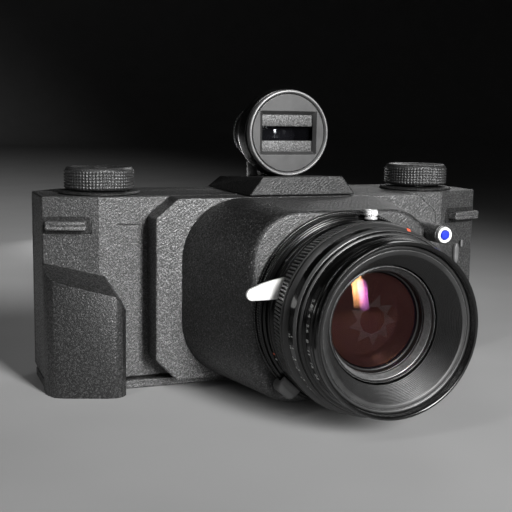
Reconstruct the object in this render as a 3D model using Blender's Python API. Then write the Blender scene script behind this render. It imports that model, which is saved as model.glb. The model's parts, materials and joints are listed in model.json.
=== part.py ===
"""Viewfinder camera for wide frames on 35 mm film, with a leaf-shutter lens on a square cone.

Every piece is its own object. Lengths below are in millimetres and are turned into metres
when a mesh is made. +X is the camera's left hand side seen from behind, the lens looks
along -Y, +Z is up, and Z = 0 is the underside of the base plate. Y = 0 is the front wall.
"""
import math

import bmesh
import bpy
from mathutils import Matrix, Vector

MM = 0.001
GAP = 0.3                       # clearance between neighbouring pieces

# ---- driving dimensions of the body ----------------------------------------
FRONT_HALF = 64.5               # half width of the flat front wall
END_HALF = 82.1                 # half width over both ends
END_FRONT = 5.3                 # where the slanted front corners meet the end walls
SHELL_BACK = 25.0               # depth of the shell behind the front wall
DOOR_BACK = 38.0                # depth over the back door
BASE_TOP = 3.0                  # thickness of the base plate
BODY_TOP = 64.4                 # height of the body
LID = 2.5                       # thickness of the top deck
RIM = 1.5                       # wall left around the top deck
FILM_LOW, FILM_HIGH = 7.0, 57.0     # floor and ceiling of the film chambers
FILM_RECESS = 17.0              # depth of the wall between the chambers
KNOB_X, KNOB_Y = 61.3, 14.45    # axes of both knobs and both film chambers
CHAMBER_R = 12.9

# ---- driving dimensions of the lens ----------------------------------------
LENS_X, LENS_Z = 3.8, 32.1      # the optical axis
PLATE_FRONT = -10.7             # front of the eight-sided plate
CONE_FRONT = -43.0              # front of the square cone
LENS_FRONT = -78.4              # front edge of the filter ring
BORE_R = 25.8                   # hole for the lens tube in the cone
CORE_R = 25.4                   # outside of the shutter core that the rings turn on

# ---- driving dimensions of the finder --------------------------------------
FINDER_Z = 85.4                 # axis of the finder
FINDER_FRONT = 3.6              # front of the finder's bezel
FINDER_R = 14.95

ROUND = 44                      # sides of a large round piece
SMALL = 20                      # sides of a small round piece

for old in list(bpy.data.objects):
    bpy.data.objects.remove(old, do_unlink=True)

LOOKS = {
    "printed": ((0.13, 0.13, 0.135), 0.0, 0.75),
    "cone_black": ((0.035, 0.035, 0.037), 0.0, 0.5),
    "black_metal": ((0.02, 0.02, 0.021), 0.6, 0.35),
    "dark_metal": ((0.09, 0.09, 0.092), 0.9, 0.4),
    "bright_metal": ((0.72, 0.72, 0.73), 1.0, 0.22),
    "grey_metal": ((0.45, 0.45, 0.46), 1.0, 0.4),
    "white_paint": ((0.8, 0.8, 0.79), 0.0, 0.35),
    "blue_plastic": ((0.02, 0.14, 0.7), 0.0, 0.35),
    "red_plastic": ((0.75, 0.18, 0.12), 0.0, 0.4),
    "glass": ((0.75, 0.8, 0.82), 0.0, 0.03),
}


# ---- making meshes ----------------------------------------------------------
def add(name, bm, look, origin=(0.0, 0.0, 0.0), smooth=True):
    """Turn a bmesh drawn in millimetres into an object with its origin at a point."""
    bmesh.ops.recalc_face_normals(bm, faces=bm.faces)
    shift = Matrix.Translation(-Vector(origin))
    bmesh.ops.transform(bm, matrix=Matrix.Scale(MM, 4) @ shift, verts=bm.verts)
    mesh = bpy.data.meshes.new(name)
    bm.to_mesh(mesh)
    bm.free()
    obj = bpy.data.objects.new(name, mesh)
    bpy.context.collection.objects.link(obj)
    obj.location = Vector(origin) * MM
    if look:
        mesh.materials.append(material(name, look))
    if smooth:
        mesh.shade_smooth()
        mesh.set_sharp_from_angle(angle=math.radians(35))
    bpy.context.view_layer.update()
    return obj


def material(name, look):
    colour, metallic, roughness = LOOKS[look]
    mat = bpy.data.materials.new(name + "_" + look)
    mat.use_nodes = True
    shader = mat.node_tree.nodes["Principled BSDF"]
    shader.inputs["Base Color"].default_value = (*colour, 1.0)
    shader.inputs["Metallic"].default_value = metallic
    shader.inputs["Roughness"].default_value = roughness
    if look == "glass":
        shader.inputs["Transmission Weight"].default_value = 0.9
    return mat


def layers(rings):
    """Join closed rings of points, one after another, and cap both ends."""
    bm = bmesh.new()
    loops = [[bm.verts.new(point) for point in ring] for ring in rings]
    count = len(loops[0])
    for low, high in zip(loops, loops[1:]):
        for i in range(count):
            j = (i + 1) % count
            bm.faces.new((low[i], low[j], high[j], high[i]))
    bm.faces.new(list(reversed(loops[0])))
    bm.faces.new(loops[-1])
    return bm


def prism_z(outline, low, high):
    return layers([[(x, y, z) for x, y in outline] for z in (low, high)])


def prism_y(outline, front, back):
    return layers([[(x, y, z) for x, z in outline] for y in (front, back)])


def prism_x(outline, left, right):
    return layers([[(x, y, z) for y, z in outline] for x in (left, right)])


def box(x0, x1, y0, y1, z0, z1):
    return prism_z([(x0, y0), (x1, y0), (x1, y1), (x0, y1)], z0, z1)


def lathe(profile, centre, axis, steps=ROUND):
    """Turn a closed profile of (radius, distance along the axis) about an axis."""
    cx, cy = centre
    bm = bmesh.new()
    loops = []
    for i in range(steps):
        turn = 2.0 * math.pi * i / steps
        across, up = math.cos(turn), math.sin(turn)
        ring = []
        for radius, along in profile:
            a, b = cx + radius * across, cy + radius * up
            ring.append(bm.verts.new((a, along, b) if axis == "Y" else (a, b, along)))
        loops.append(ring)
    count = len(profile)
    for i in range(steps):
        here, there = loops[i], loops[(i + 1) % steps]
        for k in range(count):
            m = (k + 1) % count
            bm.faces.new((here[k], here[m], there[m], there[k]))
    bmesh.ops.remove_doubles(bm, verts=bm.verts, dist=1e-5)
    return bm


def tube(inner, outer, low, high, centre, axis="Y", steps=ROUND):
    return lathe([(inner, low), (outer, low), (outer, high), (inner, high)], centre, axis, steps)


def rod(radius, low, high, centre, axis="Y", steps=SMALL):
    rings = []
    for along in (low, high):
        ring = []
        for i in range(steps):
            turn = 2.0 * math.pi * i / steps
            a = centre[0] + radius * math.cos(turn)
            b = centre[1] + radius * math.sin(turn)
            ring.append((a, along, b) if axis == "Y" else (a, b, along))
        rings.append(ring)
    return layers(rings)


def disc(profile, centre, axis="Y", steps=ROUND):
    """A solid turned piece: the profile starts and ends off the axis and is capped flat."""
    rings = []
    for radius, along in profile:
        ring = []
        for i in range(steps):
            turn = 2.0 * math.pi * i / steps
            a = centre[0] + radius * math.cos(turn)
            b = centre[1] + radius * math.sin(turn)
            ring.append((a, along, b) if axis == "Y" else (a, b, along))
        rings.append(ring)
    return layers(rings)


def round_rect(cx, cz, half_x, half_z, radius, steps=6):
    """Outline of a rectangle with round corners, as (x, z) points."""
    points = []
    for quarter, (sx, sz) in enumerate(((1, 1), (-1, 1), (-1, -1), (1, -1))):
        for i in range(steps + 1):
            turn = math.pi / 2.0 * (quarter + i / steps)
            points.append((cx + sx * (half_x - radius) + radius * math.cos(turn),
                           cz + sz * (half_z - radius) + radius * math.sin(turn)))
    return points


def inset(outline, distance):
    """Move every side of a convex counter-clockwise outline inwards."""
    count = len(outline)
    lines = []
    for i in range(count):
        (x0, y0), (x1, y1) = outline[i], outline[(i + 1) % count]
        length = math.hypot(x1 - x0, y1 - y0)
        nx, ny = -(y1 - y0) / length, (x1 - x0) / length
        lines.append((nx, ny, nx * x0 + ny * y0 + distance))
    points = []
    for i in range(count):
        (a, b, c), (d, e, f) = lines[i - 1], lines[i]
        det = a * e - b * d
        points.append(((c * e - b * f) / det, (a * f - c * d) / det))
    return points


# ---- changing objects -------------------------------------------------------
def bake(obj):
    """Replace an object's mesh by the mesh its modifiers give."""
    graph = bpy.context.evaluated_depsgraph_get()
    mesh = bpy.data.meshes.new_from_object(obj.evaluated_get(graph))
    obj.modifiers.clear()
    obj.data = mesh


def combine(obj, operation, bm):
    """Cut a shape out of an object, or join it on."""
    tool = add("tool", bm, None, smooth=False)
    step = obj.modifiers.new(operation, "BOOLEAN")
    step.operation = operation
    step.solver = "EXACT"
    step.object = tool
    bpy.context.view_layer.update()
    bake(obj)
    bpy.data.objects.remove(tool, do_unlink=True)


def cut(obj, *shapes):
    for shape in shapes:
        combine(obj, "DIFFERENCE", shape)


def join(obj, *shapes):
    for shape in shapes:
        combine(obj, "UNION", shape)


def soften(obj, width, segments=2):
    """Round the sharp edges of an object."""
    step = obj.modifiers.new("edges", "BEVEL")
    step.width = width * MM
    step.segments = segments
    step.limit_method = "ANGLE"
    step.angle_limit = math.radians(38)
    bpy.context.view_layer.update()
    bake(obj)
    obj.data.shade_smooth()
    obj.data.set_sharp_from_angle(angle=math.radians(35))


def turned(bm, angle, about):
    """Turn a drawn shape about a vertical line."""
    bmesh.ops.rotate(bm, verts=bm.verts, cent=about, matrix=Matrix.Rotation(angle, 3, "Z"))
    return bm


LENS = (LENS_X, LENS_Z)
SHELL = [(-FRONT_HALF, 0.0), (FRONT_HALF, 0.0), (END_HALF, END_FRONT), (END_HALF, SHELL_BACK),
         (-END_HALF, SHELL_BACK), (-END_HALF, END_FRONT)]
CORNER_TURN = math.atan2(END_FRONT, END_HALF - FRONT_HALF)
HINGE_X, HINGE_Y = END_HALF + 2.5, SHELL_BACK + GAP / 2.0

# ---- body shell: walls, two film chambers, light tunnel, hinge knuckles -----
body = add("body_shell", prism_z(SHELL, BASE_TOP + GAP, BODY_TOP), "printed")
soften(body, 0.35, 1)
join(body,
     box(END_HALF - 1.0, HINGE_X, 22.2, 24.8, 12.0, 22.0),
     box(END_HALF - 1.0, HINGE_X, 22.2, 24.8, 44.0, 54.0),
     rod(2.1, 12.0, 22.0, (HINGE_X, HINGE_Y), "Z"),
     rod(2.1, 44.0, 54.0, (HINGE_X, HINGE_Y), "Z"))
cut(body,
    prism_z(inset(SHELL, RIM), BODY_TOP - LID - GAP, BODY_TOP + 1.0),
    box(LENS_X - 35.5, LENS_X + 35.5, -1.0, FILM_RECESS + 1.0, LENS_Z - 15.0, LENS_Z + 15.0),
    box(-KNOB_X, KNOB_X, FILM_RECESS, SHELL_BACK + 1.0, FILM_LOW, FILM_HIGH),
    rod(1.2, 11.0, 55.0, (HINGE_X, HINGE_Y), "Z", 16))
for side in (-1, 1):
    x = side * KNOB_X
    cut(body,
        rod(CHAMBER_R, FILM_LOW, FILM_HIGH, (x, KNOB_Y), "Z", 32),
        box(x - CHAMBER_R, x + CHAMBER_R, KNOB_Y, SHELL_BACK + 1.0, FILM_LOW, FILM_HIGH),
        rod(3.4, FILM_HIGH - 1.0, BODY_TOP, (x, KNOB_Y), "Z"),
        rod(2.0, FILM_LOW - 2.0, FILM_LOW + 1.0, (x, KNOB_Y), "Z"))

ROLLER_X, ROLLER_Y = 43.6, 20.2
for side in (-1, 1):
    for low in (FILM_LOW - 2.0, FILM_HIGH - 1.0):
        cut(body, rod(1.1, low, low + 3.0, (side * ROLLER_X, ROLLER_Y), "Z", 16))

# A shallow seat for each strap lug, and a slot for the side slide, in the slanted corners.
LUG_MID = 74.4
LUG_Z = 55.2                    # middle of the strap bar
FACE_Y = (LUG_MID - FRONT_HALF) * math.tan(CORNER_TURN)
for side in (-1, 1):
    mid = (side * LUG_MID, FACE_Y, LUG_Z)
    seat = box(mid[0] - 7.9, mid[0] + 7.9, FACE_Y - 2.0, FACE_Y + 1.2, LUG_Z - 3.0, LUG_Z + 1.2)
    cut(body, turned(seat, side * CORNER_TURN, mid))

SLIDE_X, SLIDE_Z = 72.5, 40.6
SLIDE_HALF = 3.7
SLIDE_TRAVEL = 4.0
SLIDE_Y = (SLIDE_X - FRONT_HALF) * math.tan(CORNER_TURN)
slide_mid = (SLIDE_X, SLIDE_Y, SLIDE_Z)
cut(body, turned(box(SLIDE_X - 0.7, SLIDE_X + 0.7, SLIDE_Y - 2.0, SLIDE_Y + 1.1,
                     SLIDE_Z - SLIDE_HALF - SLIDE_TRAVEL + 0.5, SLIDE_Z + SLIDE_HALF - 0.5),
                 CORNER_TURN, slide_mid))

# ---- top deck and base plate ------------------------------------------------
deck = add("top_deck", prism_z(inset(SHELL, RIM + GAP), BODY_TOP - LID, BODY_TOP), "printed")
base = add("base_plate", prism_z(
    [(-FRONT_HALF, 0.0), (-57.0, 0.0), (-57.0, -2.7), (FRONT_HALF - 0.5, -2.7),
     (END_HALF, END_FRONT - 2.7), (END_HALF, SHELL_BACK), (-END_HALF, SHELL_BACK),
     (-END_HALF, END_FRONT)], 0.0, BASE_TOP), "printed")
soften(base, 0.35, 1)
for side in (-1, 1):
    cut(deck, rod(3.4, 60.0, 66.0, (side * KNOB_X, KNOB_Y), "Z"))

BUSH_Y = 9.0
bush_seat = (LENS_X, BUSH_Y)
cut(base, rod(5.3, -1.0, 4.0, bush_seat, "Z"))
cut(body, rod(5.3, 2.0, 11.0, bush_seat, "Z"))
bush = add("tripod_bushing", rod(5.0, 0.2, 10.6, bush_seat, "Z"), "bright_metal")
cut(bush, rod(3.18, -1.0, 8.6, bush_seat, "Z"))

for x, name in ((-40.0, "base_screw_left"), (47.0, "base_screw_right")):
    cut(base, rod(2.6, -1.0, 1.6, (x, 20.0), "Z", 20))
    screw = add(name, rod(2.3, 0.3, 1.3, (x, 20.0), "Z", 20), "dark_metal")
    cut(screw, box(x - 1.9, x + 1.9, 19.7, 20.3, 0.0, 0.8))

# ---- eight-sided front plate and the square cone ----------------------------
PLATE_HALF = 52.1
PLATE_LOW = 3.6
PLATE = [(LENS_X - PLATE_HALF + 7.4, PLATE_LOW), (LENS_X + PLATE_HALF - 7.4, PLATE_LOW),
         (LENS_X + PLATE_HALF, PLATE_LOW + 7.4), (LENS_X + PLATE_HALF, 58.0),
         (LENS_X + PLATE_HALF - 7.6, BODY_TOP), (LENS_X - PLATE_HALF + 7.6, BODY_TOP),
         (LENS_X - PLATE_HALF, 58.0), (LENS_X - PLATE_HALF, PLATE_LOW + 7.4)]
plate = add("front_plate", prism_y(PLATE, PLATE_FRONT, -GAP), "printed")
soften(plate, 0.5, 2)
cut(plate, prism_y(round_rect(LENS_X, LENS_Z, 35.0, 20.0, 5.0, 4), PLATE_FRONT - 1.0, 1.0))


def cone_ring(y, cx, cz, half_x, half_z, radius):
    return [(x, y, z) for x, z in round_rect(cx, cz, half_x, half_z, radius, 8)]


cone = add("lens_cone", layers([
    cone_ring(CONE_FRONT, LENS_X, 32.75, 30.4, 29.5, 15.6),
    cone_ring(CONE_FRONT + 0.3, LENS_X, 32.75, 31.0, 30.1, 15.9),
    cone_ring(CONE_FRONT + 1.0, LENS_X, 32.77, 31.5, 30.3, 16.1),
    cone_ring(PLATE_FRONT - GAP, LENS_X, 34.0, 43.2, 30.2, 20.0)]), "cone_black")
BUTTON = (34.4, 55.05)
join(cone, rod(2.9, -49.4, -24.0, BUTTON, "Y", 32))
cut(cone,
    layers([cone_ring(CONE_FRONT + 3.6, LENS_X, LENS_Z, 27.0, 25.5, 14.0),
            cone_ring(PLATE_FRONT + 1.0, LENS_X, LENS_Z, 38.0, 25.5, 14.0)]),
    rod(BORE_R, CONE_FRONT - 1.0, CONE_FRONT + 6.0, LENS, "Y", ROUND),
    rod(1.75, -50.0, -34.0, BUTTON, "Y", 24))

collar = add("release_collar", tube(1.75, 2.45, -50.6, -49.7, BUTTON, "Y", 32), "white_paint")
button = add("release_button",
             disc([(0.9, -51.3), (1.3, -51.1), (1.45, -50.7), (1.45, -38.5)], BUTTON, "Y", 32),
             "blue_plastic", (BUTTON[0], -51.3, BUTTON[1]))

# ---- hand grip --------------------------------------------------------------
GRIP = [(-57.4, -GAP), (-57.4, -6.6), (-57.9, -9.2), (-59.4, -11.2), (-61.8, -12.0),
        (-64.0, -11.7), (-78.0, -7.0), (-80.6, -5.4), (-82.0, -2.6), (-82.4, 0.5),
        (-82.4, END_FRONT - 0.4), (-FRONT_HALF, -GAP)]
grip = add("hand_grip", prism_z(GRIP, 0.0, 60.0), "printed")
# Two slanted cuts: the thumb slope over the whole top and the shoulder next to the plate.
SLOPES = (((-65.0, 0.0, 38.9), (-0.107, 0.425)), ((-63.0, 0.0, 38.7), (-1.526, 0.2725)))
for (px, py, pz), (rise_x, rise_y) in SLOPES:
    corners = [(px + dx, py + dy) for dx, dy in ((-40, -40), (40, -40), (40, 40), (-40, 40))]
    low = [(x, y, pz + rise_x * (x - px) + rise_y * (y - py)) for x, y in corners]
    cut(grip, layers([low, [(x, y, z + 120.0) for x, y, z in low]]))
soften(grip, 0.8, 2)

# ---- strap lugs and the slide on the right-hand corner ----------------------
for side, name in ((-1, "strap_lug_left"), (1, "strap_lug_right")):
    mx, my, mz = mid = (side * LUG_MID, FACE_Y, LUG_Z)
    lug = add(name, turned(box(mx - 6.5, mx + 6.5, my - 4.2, my - 2.2, mz - 1.5, mz + 1.5),
                           side * CORNER_TURN, mid), "grey_metal", mid)
    for post in (-5.6, 5.6):
        foot = box(mx + post - 0.9, mx + post + 0.9, my - 3.0, my + 0.9, mz - 1.3, mz + 0.9)
        join(lug, turned(foot, side * CORNER_TURN, mid))
    soften(lug, 0.3, 1)

side_slide = add("side_slide", turned(
    box(SLIDE_X - 1.1, SLIDE_X + 1.1, SLIDE_Y - 1.6, SLIDE_Y - 0.3,
        SLIDE_Z - SLIDE_HALF, SLIDE_Z + SLIDE_HALF), CORNER_TURN, slide_mid), "grey_metal",
    slide_mid)
soften(side_slide, 0.4, 2)
tongue = box(SLIDE_X - 0.4, SLIDE_X + 0.4, SLIDE_Y - 0.8, SLIDE_Y + 0.8,
             SLIDE_Z - SLIDE_HALF + 1.0, SLIDE_Z + SLIDE_HALF - 1.0)
join(side_slide, turned(tongue, CORNER_TURN, slide_mid))
stop_bar = add("side_stop", turned(
    box(SLIDE_X + 2.6, SLIDE_X + 3.6, SLIDE_Y - 1.2, SLIDE_Y - GAP, SLIDE_Z + 2.2, SLIDE_Z + 4.8),
    CORNER_TURN, slide_mid), "grey_metal")
soften(stop_bar, 0.25, 1)

# ---- back door, hinge pin, latch, pressure plate, film gate, rollers --------
DOOR = [(-END_HALF, SHELL_BACK + GAP), (END_HALF, SHELL_BACK + GAP), (END_HALF, 28.5),
        (71.0, DOOR_BACK), (-71.0, DOOR_BACK), (-END_HALF, 28.5)]
door = add("back_door", prism_z(DOOR, BASE_TOP + GAP, BODY_TOP), "printed",
           (HINGE_X, HINGE_Y, 0.0))
soften(door, 0.5, 2)
join(door,
     box(END_HALF - 1.0, HINGE_X, 25.5, 27.2, 22.5, 43.5),
     rod(2.1, 22.5, 43.5, (HINGE_X, HINGE_Y), "Z"))
cut(door,
    prism_z([(-78.0, 24.0), (78.0, 24.0), (78.0, 28.0), (69.0, 35.0), (-69.0, 35.0),
             (-78.0, 28.0)], 7.0, 60.0),
    rod(1.2, 11.0, 55.0, (HINGE_X, HINGE_Y), "Z", 16))
join(door, box(LENS_X - 20.0, LENS_X + 20.0, 27.0, 36.0, LENS_Z - 9.0, LENS_Z + 9.0))
add("hinge_pin", rod(0.9, 11.4, 54.6, (HINGE_X, HINGE_Y), "Z", 16), "bright_metal",
    (HINGE_X, HINGE_Y, 0.0))
latch = add("door_latch", box(-68.0, -59.0, DOOR_BACK + GAP, DOOR_BACK + 2.6, 26.0, 38.0),
            "dark_metal", (-63.5, DOOR_BACK + GAP, 32.0))
soften(latch, 0.5, 2)
pressure = add("pressure_plate",
               box(LENS_X - 37.0, LENS_X + 37.0, 21.0, 22.4, LENS_Z - 17.5, LENS_Z + 17.5),
               "dark_metal")
for x in (-12.0, 12.0):
    join(pressure, rod(2.0, 22.0, 26.7, (LENS_X + x, LENS_Z), "Y", 20))

gate = add("film_gate",
           box(LENS_X - 38.0, LENS_X + 38.0, FILM_RECESS + GAP, 19.6,
               LENS_Z - 18.0, LENS_Z + 18.0), "black_metal")
for z in (-15.0, 15.0):
    join(gate, box(LENS_X - 38.0, LENS_X + 38.0, 19.0, 20.4, LENS_Z + z - 1.2, LENS_Z + z + 1.2))
cut(gate, box(LENS_X - 32.5, LENS_X + 32.5, 16.0, 22.0, LENS_Z - 12.0, LENS_Z + 12.0))

for side, name in ((-1, "roller_left"), (1, "roller_right")):
    centre = (side * ROLLER_X, ROLLER_Y)
    roller = add(name, disc([(0.8, 5.4), (0.8, 7.3), (1.6, 7.3), (1.6, 56.7), (0.8, 56.7),
                             (0.8, 58.6)], centre, "Z", SMALL), "bright_metal", (*centre, 0.0))

# ---- knobs, shafts and spools -----------------------------------------------
KNOB_R = 11.9
KNOB = [(3.2, 65.9), (11.2, 65.9), (11.2, 66.2), (KNOB_R, 66.5), (KNOB_R, 72.2),
        (11.6, 72.7), (10.9, 73.4), (9.6, 73.5), (8.8, 72.9), (1.0, 72.7)]
for side, name, lift in ((-1, "advance", 0.0), (1, "rewind", 0.4)):
    centre = (side * KNOB_X, KNOB_Y)
    add(name + "_disc", tube(3.5, 13.6, BODY_TOP + GAP, 65.5, centre, "Z"), "printed")
    add(name + "_knob", disc([(radius, up + lift) for radius, up in KNOB], centre, "Z"),
        "printed", (*centre, 65.9 + lift))

left = (-KNOB_X, KNOB_Y)
right = (KNOB_X, KNOB_Y)
add("advance_shaft", rod(3.0, 54.0, 65.6, left, "Z"), "bright_metal", (*left, 65.6))
spool = add("takeup_spool", disc([(1.7, 5.4), (1.7, 7.3), (11.4, 7.3), (11.4, 8.5), (4.6, 8.5),
                                  (4.6, 51.2), (11.4, 51.2), (11.4, 52.4), (4.6, 52.4),
                                  (4.6, 53.7)], left, "Z", 28), "black_metal", (*left, 53.7))
fork = add("rewind_shaft", disc([(3.0, 52.0), (3.0, 65.6)], right, "Z", SMALL),
           "bright_metal", (*right, 65.6))
join(fork, box(right[0] - 2.6, right[0] - 0.9, KNOB_Y - 1.0, KNOB_Y + 1.0, 46.0, 53.0),
     box(right[0] + 0.9, right[0] + 2.6, KNOB_Y - 1.0, KNOB_Y + 1.0, 46.0, 53.0))

# ---- lens: fixed flange, focus ring and tab ---------------------------------
axis_point = (LENS_X, CONE_FRONT, LENS_Z)
add("lens_flange", tube(BORE_R, 30.8, -44.0, CONE_FRONT - GAP, LENS), "black_metal")
add("focus_ring", lathe([(BORE_R, -44.3), (29.6, -44.3), (30.2, -44.8), (30.2, -47.0),
                         (29.5, -47.6), (BORE_R, -47.6)], LENS, "Y"), "black_metal", axis_point)


def spoke(angle, reach, width, front, back):
    """A bar that points away from the lens axis, as seen from the front."""
    r0, r1 = reach
    w0, w1 = width
    c, s = math.cos(angle), math.sin(angle)
    corners = ((r0, -w0 / 2), (r1, -w1 / 2), (r1, w1 / 2), (r0, w0 / 2))
    return prism_y([(LENS_X + r * c - w * s, LENS_Z + r * s + w * c) for r, w in corners],
                   front, back)


TAB_TURN = math.radians(227)
tab = add("focus_tab", spoke(TAB_TURN, (30.6, 33.4), (7.0, 5.0), -49.4, -44.6), "dark_metal",
          axis_point)
join(tab, spoke(TAB_TURN, (28.8, 31.2), (7.0, 7.0), -49.4, -47.9))
soften(tab, 0.5, 2)

# ---- lens: the sliding unit -------------------------------------------------
add("lens_tube", lathe([(21.9, -47.6), (25.5, -47.6), (25.5, -24.0), (23.4, -24.0),
                        (21.9, -25.0)], LENS, "Y"), "black_metal", axis_point)
add("shutter_housing", lathe([(21.6, -67.8), (CORE_R, -67.8), (CORE_R, -52.2), (27.8, -52.2),
                              (28.3, -51.7), (28.3, -48.4), (27.8, -47.9), (21.6, -47.9)],
                             LENS, "Y"), "black_metal", axis_point)
lever = add("cocking_lever", tube(CORE_R + GAP, 28.0, -53.8, -52.5, LENS), "white_paint",
            axis_point)
# The arm's outline, measured from the lens axis: flat underneath, widening towards the ring.
TIP_X, TIP_Z, TIP_R = -34.8, 8.0, 1.85
ARM = [(-24.0, 12.3), (-26.3, 6.2), (TIP_X, TIP_Z - TIP_R)]
ARM += [(TIP_X - TIP_R * math.sin(math.radians(turn)), TIP_Z - TIP_R * math.cos(math.radians(turn)))
        for turn in (30, 60, 90, 120, 150, 165)]
ARM += [(-32.1, 11.0), (-29.0, 11.85), (-24.9, 12.6)]
join(lever, prism_y([(LENS_X + dx, LENS_Z + dz) for dx, dz in ARM], -53.8, -52.5))
add("speed_ring", lathe([(CORE_R + GAP, -54.1), (28.2, -54.1), (28.9, -54.7), (29.2, -60.6),
                         (29.2, -61.2), (28.9, -61.5), (CORE_R + GAP, -61.5)], LENS, "Y"),
    "black_metal", axis_point)
add("aperture_ring", lathe([(CORE_R + GAP, -61.8), (29.0, -61.8), (29.0, -62.1), (27.9, -63.6),
                            (27.9, -67.3), (27.3, -68.0), (CORE_R + GAP, -68.0)], LENS, "Y"),
    "grey_metal", axis_point)
add("front_barrel", lathe([(21.6, -68.3), (26.9, -68.3), (26.9, -69.2), (25.7, -69.6),
                           (25.6, -74.9), (25.2, -75.3), (22.6, -75.3), (22.6, -73.0),
                           (21.6, -73.0)], LENS, "Y"), "black_metal", axis_point)
add("filter_ring", lathe([(24.3, -75.6), (25.2, -75.6), (25.5, -75.9), (25.5, -78.0),
                          (25.2, LENS_FRONT), (24.6, LENS_FRONT), (24.3, -78.1)], LENS, "Y"),
    "black_metal", axis_point)
add("hood_cone", lathe([(18.4, -66.4), (21.3, -66.4), (21.3, -73.3), (22.3, -73.3),
                        (22.3, -75.6), (24.0, -75.6), (24.0, -76.2), (21.5, -76.2),
                        (17.6, -68.9)], LENS, "Y"), "black_metal", axis_point)
add("retaining_ring", lathe([(16.7, -68.5), (17.2, -68.5), (17.2, -64.8), (15.4, -64.8)],
                            LENS, "Y"), "dark_metal", axis_point)
add("front_cell", lathe([(15.2, -64.5), (17.6, -64.5), (17.6, -58.0), (14.5, -58.0),
                         (14.5, -62.6)], LENS, "Y"), "black_metal", axis_point)
add("front_element", disc([(13.6, -58.6), (14.2, -59.0), (14.2, -62.6), (12.2, -63.6),
                           (9.2, -64.7), (6.2, -65.4), (3.0, -65.8), (0.8, -65.9)], LENS, "Y", 36),
    "glass", axis_point)
add("aperture_blades", tube(8.5, 21.2, -57.2, -56.6, LENS, "Y", 36), "black_metal", axis_point)
add("shutter_blades", tube(9.5, 21.2, -54.6, -54.0, LENS, "Y", 36), "black_metal", axis_point)
add("rear_cell", tube(12.3, 21.5, -51.0, -34.0, LENS, "Y", 36), "black_metal", axis_point)
add("rear_element", disc([(0.8, -50.2), (6.0, -49.6), (11.0, -47.8), (12.0, -47.2),
                          (12.0, -36.2), (11.0, -35.6), (6.0, -34.6), (0.8, -34.3)],
                         LENS, "Y", 36), "glass", axis_point)

TERMINAL = (LENS_X + 4.6, -50.05)
terminal = add("sync_terminal", disc([(1.4, 60.6), (2.0, 60.9), (2.0, 63.2), (1.7, 63.6),
                                      (0.9, 63.6)], TERMINAL, "Z", SMALL), "bright_metal")
add("aperture_index", spoke(math.radians(68.7), (28.6, 29.2), (1.7, 1.7), -64.0, -63.1),
    "red_plastic", axis_point)

# ---- finder base and accessory shoe -----------------------------------------
SHOE_FRONT, SHOE_BACK = 15.0, 34.0
SHOE_LOW = BODY_TOP + GAP       # the shoe is let into the base, down to the top deck
HUMP_BACK = 36.0
hump = add("finder_base", layers([
    [(LENS_X - 19.6, -9.7, BODY_TOP + GAP), (LENS_X + 19.6, -9.7, BODY_TOP + GAP),
     (LENS_X + 19.6, HUMP_BACK, BODY_TOP + GAP), (LENS_X - 19.6, HUMP_BACK, BODY_TOP + GAP)],
    [(LENS_X - 14.7, -9.5, 71.0), (LENS_X + 14.7, -9.5, 71.0),
     (LENS_X + 14.7, HUMP_BACK - 0.3, 68.6), (LENS_X - 14.7, HUMP_BACK - 0.3, 68.6)]]), "printed")
soften(hump, 0.4, 2)
cut(hump, box(LENS_X - 12.3, LENS_X + 12.3, SHOE_FRONT - GAP, HUMP_BACK + 1.0, 60.0, 74.0))
shoe = add("accessory_shoe", box(LENS_X - 12.0, LENS_X + 12.0, SHOE_FRONT, SHOE_BACK,
                                 SHOE_LOW, 68.7), "dark_metal")
cut(shoe,
    box(LENS_X - 9.6, LENS_X + 9.6, SHOE_FRONT + 1.2, SHOE_BACK + 1.0, SHOE_LOW + 1.0, 67.6),
    box(LENS_X - 7.4, LENS_X + 7.4, SHOE_FRONT + 1.2, SHOE_BACK + 1.0, 66.8, 73.0))

# ---- finder -----------------------------------------------------------------
FINDER = (LENS_X, FINDER_Z)
EYE_FRONT, EYE_BACK = 24.0, 33.0
finder_point = (LENS_X, SHOE_FRONT, 66.6)
finder = add("finder_body", lathe([
    (14.0, 6.9), (15.3, 6.9), (15.3, 14.5), (10.6, EYE_FRONT), (10.6, 30.0), (8.6, 30.0),
    (8.6, EYE_FRONT), (13.4, 14.5), (14.0, 13.5)], FINDER, "Y"), "black_metal", finder_point)
join(finder, prism_x([(17.0, 67.0), (27.4, 67.0), (27.4, 76.0), (24.0, 76.4), (19.0, 73.8),
                      (17.0, 72.6)], LENS_X - 7.0, LENS_X + 7.0))
join(finder, box(LENS_X - 9.2, LENS_X + 9.2, 16.6, 32.0, SHOE_LOW + 1.3, 67.3))
add("finder_bezel", lathe([(13.9, FINDER_FRONT + 0.4), (14.2, FINDER_FRONT), (14.6, FINDER_FRONT),
                           (FINDER_R, FINDER_FRONT + 0.4), (FINDER_R, 6.6), (13.9, 6.6)],
                          FINDER, "Y"), "grey_metal", finder_point)
face = add("finder_faceplate", rod(13.6, 4.3, 5.6, FINDER, "Y", ROUND), "grey_metal",
           finder_point)
WINDOW_X, WINDOW_Z = 9.9, 7.0
cut(face, box(LENS_X - WINDOW_X, LENS_X + WINDOW_X, 3.0, 7.0,
              FINDER_Z - WINDOW_Z, FINDER_Z + WINDOW_Z))
masks = add("finder_masks", box(LENS_X - 9.9, LENS_X + 9.9, 6.0, 6.9,
                                FINDER_Z + 2.3, FINDER_Z + 7.6), "grey_metal", finder_point)
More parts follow.
